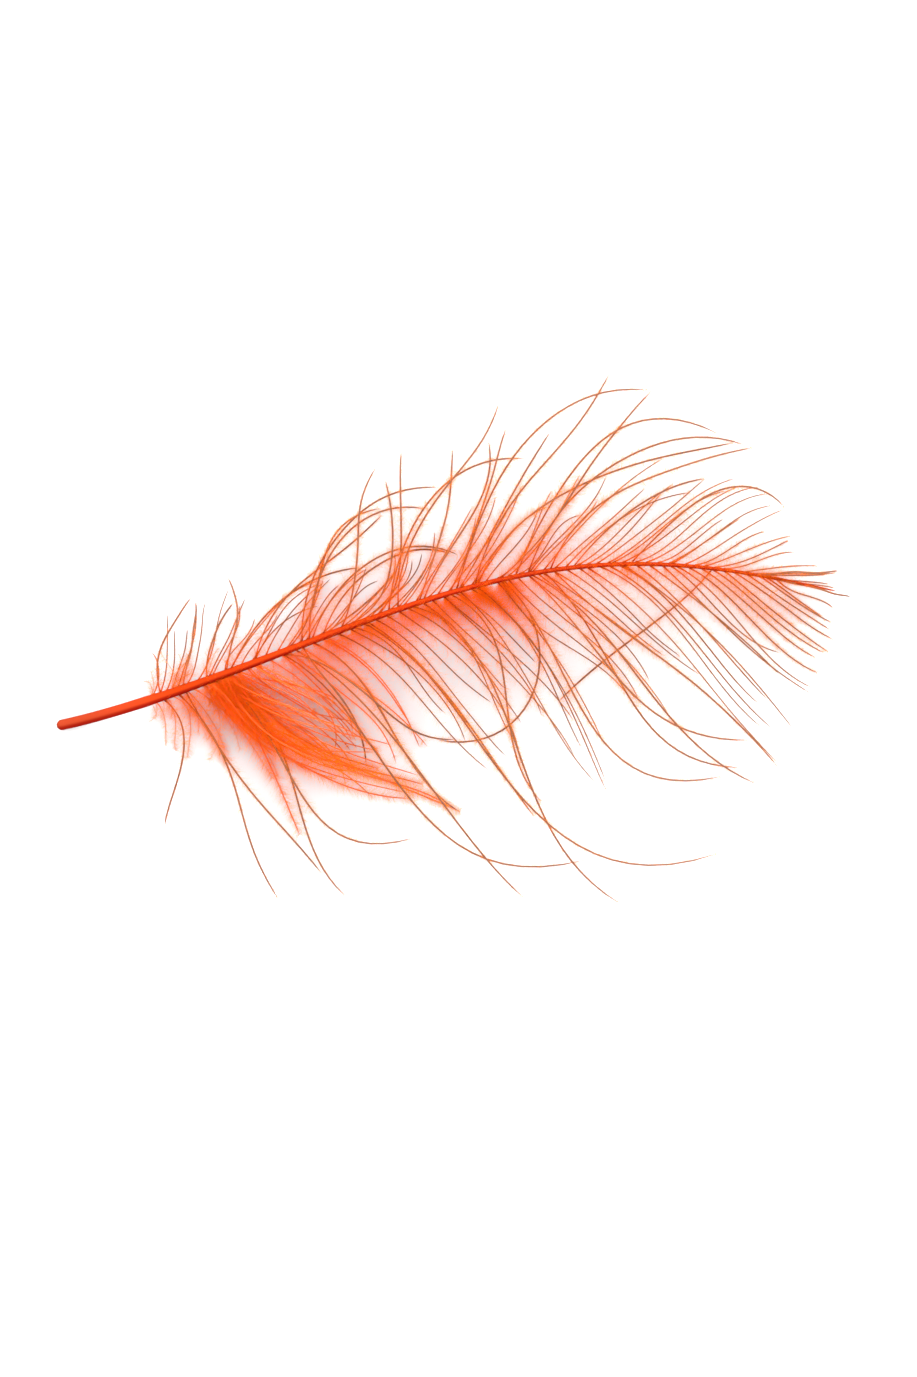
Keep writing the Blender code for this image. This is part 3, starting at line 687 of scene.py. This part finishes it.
line_sets = (upper_lines, lower_lines, tuft_lines, stray_lines, matted_lines)
all_lines = np.concatenate(line_sets)
barb_length = np.linalg.norm(np.diff(all_lines, axis=1), axis=-1).sum(axis=1)


def barbule_lines(barbs, count, longest, near_share, near_length, deepest):
    """Barbules' centre lines, from seat to tip. Each is seated on a barb, the longer the likelier, at a
    random distance along it. For the near share, that distance falls off exponentially from the shaft,
    with the near length for its mean. Each leans forward from its barb and out to one side. Also returned
    is how pale each is: the deepest value at the shaft, and paler with the distance along the barb."""
    share = barb_length[barbs] ** 1.3
    barb = barbs[rng.choice(len(barbs), count, p=share / share.sum())]
    along = rng.random(count)
    near = rng.random(count) < near_share
    along = np.where(near, (rng.exponential(near_length, count) / barb_length[barb]).clip(0, 0.95), along)
    place = along * (BARB_POINTS - 1.001)
    before = place.astype(int)
    part = (place - before)[:, None]
    seat = all_lines[barb, before] * (1 - part) + all_lines[barb, before + 1] * part
    forward = unit(all_lines[barb, before + 1] - all_lines[barb, before])
    across = unit(np.cross((0.0, 0.0, 1.0), forward))
    above = np.cross(forward, across)
    side = np.where(rng.random(count) < 0.5, 1.0, -1.0)
    roll = rng.normal(0, ROLL, count)
    out = (side * np.cos(roll))[:, None] * across + np.sin(roll)[:, None] * above
    lean = np.radians(rng.uniform(*LEAN, count))[:, None]
    toward = np.cos(lean) * forward + np.sin(lean) * out
    short = (barb_length[barb] / GROWN_LENGTH).clip(0.3, 1)
    reach = longest * short * (TIP_SHARE + (1 - TIP_SHARE) * (1 - along))
    reach = reach * rng.uniform(*BARBULE_LENGTHS, count)
    tip = seat + toward * reach[:, None]
    paleness = deepest + along * barb_length[barb] / PALE_LENGTH + rng.uniform(-0.1, 0.1, count)
    return np.stack((seat, tip), axis=1), paleness.clip(0.01, 0.99)


barbule_stops = (
    (0.0, (0.97, 0.220, 0.010)),
    (0.5, (0.97, 0.290, 0.008)),
    (1.0, (0.97, 0.360, 0.016)),
)
barbule_keratin = dyed_keratin(
    "dyed barbule keratin",
    barbule_stops,
    roughness=0.6,
    shine=0.02,
    glow=0.75,
    streaks=(90.0, 1.0),
    runs="X",
)
barbule_turns = np.linspace(0, 2 * np.pi, 3, endpoint=False)
barbule_section = np.stack((np.cos(barbule_turns), np.sin(barbule_turns)), axis=-1)
ends = np.cumsum([len(lines) for lines in line_sets])  # of each set among all the barbs
upper, lower, tuft, stray, matted = np.split(np.arange(ends[-1]), ends[:-1])
upper_part = np.digitize(upper_station, UPPER_PARTS)
lower_part = np.digitize(lower_station, LOWER_PARTS)
tips = np.concatenate((upper[upper_part == 2], lower[lower_part == 4]))

# Each row is a group of barbules: its name, its barbs, how many, the longest, the near share and its mean
# distance from the shaft, and how pale those at the shaft are.
barbule_groups = (
    ("upper_barbules_quill_half", upper[upper_part == 0], 4500, 0.0011, 0.15, 0.0007, 0.30),
    ("upper_barbules_tip_half", upper[upper_part == 1], 14000, 0.0009, 0.08, 0.0007, 0.35),
    ("lower_barbules_base", lower[lower_part == 0], 3200, 0.0024, 0.0, 0.0009, 0.55),
    ("lower_barbules_quill_end", lower[lower_part == 1], 12000, 0.0015, 0.60, 0.0028, 0.15),
    ("lower_barbules_middle", lower[lower_part == 2], 29000, 0.0012, 0.70, 0.0015, 0.10),
    ("lower_barbules_tip_end", lower[lower_part == 3], 13500, 0.0009, 0.35, 0.0013, 0.30),
    ("barbules_at_the_tip", tips, 20500, 0.0008, 0.0, 0.0010, 0.40),
    ("tuft_barbules", tuft, 2800, 0.0028, 0.0, 0.0009, 0.60),
    ("upper_stray_barbules", stray[stray_above], 46000, 0.0010, 0.0, 0.0010, 0.20),
    ("lower_stray_barbules", stray[~stray_above & ~fringe], 39000, 0.0010, 0.0, 0.0010, 0.15),
    ("fringe_barbules", stray[fringe], 16000, 0.0019, 0.0, 0.0010, -0.10),
    ("matted_barbules", matted, 8000, 0.0013, 0.15, 0.0030, 0.05),
)
for name, *group in barbule_groups:
    lines, paleness = barbule_lines(*group)
    radii = np.full(lines.shape[:2], BARBULE_RADIUS)
    new_piece(name, *tubes(on_surface(lines, radii), radii, barbule_section, paleness), barbule_keratin)


# The surface, the light and the camera
# The feather lies on a plain white sheet in an even pale room. One big soft light stands on the side of the
# shorter vane, and the camera looks straight down.
PAPER_SHADE = (0.43, 0.43, 0.43, 1.0)
ROOM_BRIGHTNESS = 3.45
WINDOW_SIZE = 0.35
WINDOW_POWER = 5.0  # watts
WINDOW_PLACE = (0.18, 0.40, 0.31)
LENS = 100.0
SENSOR = 36.0  # along the frame's height
FRAME_WIDTH = 917
FRAME_HEIGHT = 1377
FEATHER_SHARE = 0.86  # of the frame's width
CHORD_TILT = 9.8  # degrees that the feather's length rises to the right in the view

floor_mesh = bpy.data.meshes.new("floor")
floor_mesh.from_pydata([(-4, -4, 0), (4, -4, 0), (4, 4, 0), (-4, 4, 0)], [], [(0, 1, 2, 3)])
floor = bpy.data.objects.new("floor", floor_mesh)
paper = bpy.data.materials.new("white paper")
paper.use_nodes = True
paper_shader = paper.node_tree.nodes["Principled BSDF"]
paper_shader.inputs["Base Color"].default_value = PAPER_SHADE
paper_shader.inputs["Roughness"].default_value = 0.9
paper_shader.inputs["Specular IOR Level"].default_value = 0.1
floor_mesh.materials.append(paper)
bpy.context.scene.collection.objects.link(floor)

world = bpy.data.worlds.new("pale room")
world.use_nodes = True
world.node_tree.nodes["Background"].inputs["Color"].default_value = (1.0, 1.0, 1.0, 1.0)
world.node_tree.nodes["Background"].inputs["Strength"].default_value = ROOM_BRIGHTNESS
bpy.context.scene.world = world

key = bpy.data.lights.new("soft window", "AREA")
key.shape = "DISK"
key.size = WINDOW_SIZE
key.energy = WINDOW_POWER
key_object = bpy.data.objects.new("soft window", key)
key_object.location = WINDOW_PLACE
key_object.rotation_euler = (-Vector(key_object.location)).to_track_quat("-Z", "Y").to_euler()
key_object.visible_camera = False
bpy.context.scene.collection.objects.link(key_object)

camera_data = bpy.data.cameras.new("camera")
camera_data.lens = LENS
camera_data.sensor_width = SENSOR
camera_data.clip_start = 0.01
camera_data.clip_end = 10.0
camera = bpy.data.objects.new("camera", camera_data)
frame_height = CHORD / FEATHER_SHARE * FRAME_HEIGHT / FRAME_WIDTH
camera.location = (0.0, 0.0, frame_height * LENS / SENSOR)
camera.rotation_euler = Euler((0.0, 0.0, np.radians(-CHORD_TILT)))
bpy.context.scene.collection.objects.link(camera)
bpy.context.scene.camera = camera
bpy.context.scene.view_settings.view_transform = "Standard"
